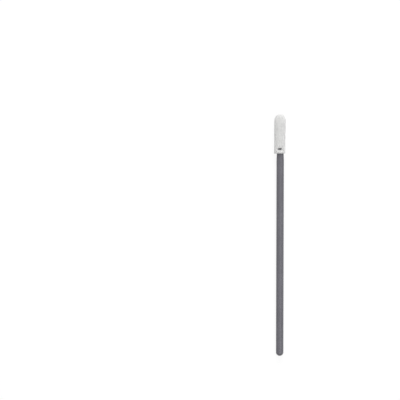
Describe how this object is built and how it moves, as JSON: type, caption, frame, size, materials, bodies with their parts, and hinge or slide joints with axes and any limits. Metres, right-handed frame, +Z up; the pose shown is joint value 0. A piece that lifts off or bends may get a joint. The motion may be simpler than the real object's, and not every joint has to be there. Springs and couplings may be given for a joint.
{
  "type": "fibre cleaning stick",
  "caption": "Slim round plastic stick with a domed white foam head fused onto its tapered end, for wiping a fibre connector's end face and sleeve.",
  "frame": {"origin": "on the surface that the stick lies on, under the middle of its length", "axes": "+Y along the stick towards the foam tip, +Z up from the surface; the stick rests on its butt and on the lower corner of the foam, so its axis rises by about half a degree towards the tip"},
  "size_m": [0.0032, 0.07, 0.0033],
  "materials": {
    "grey_plastic": "satin",
    "white_foam": "matte"
  },
  "bodies": {
    "root": {"handle": "grey_plastic", "foam_head": "white_foam"}
  },
  "joints": []
}
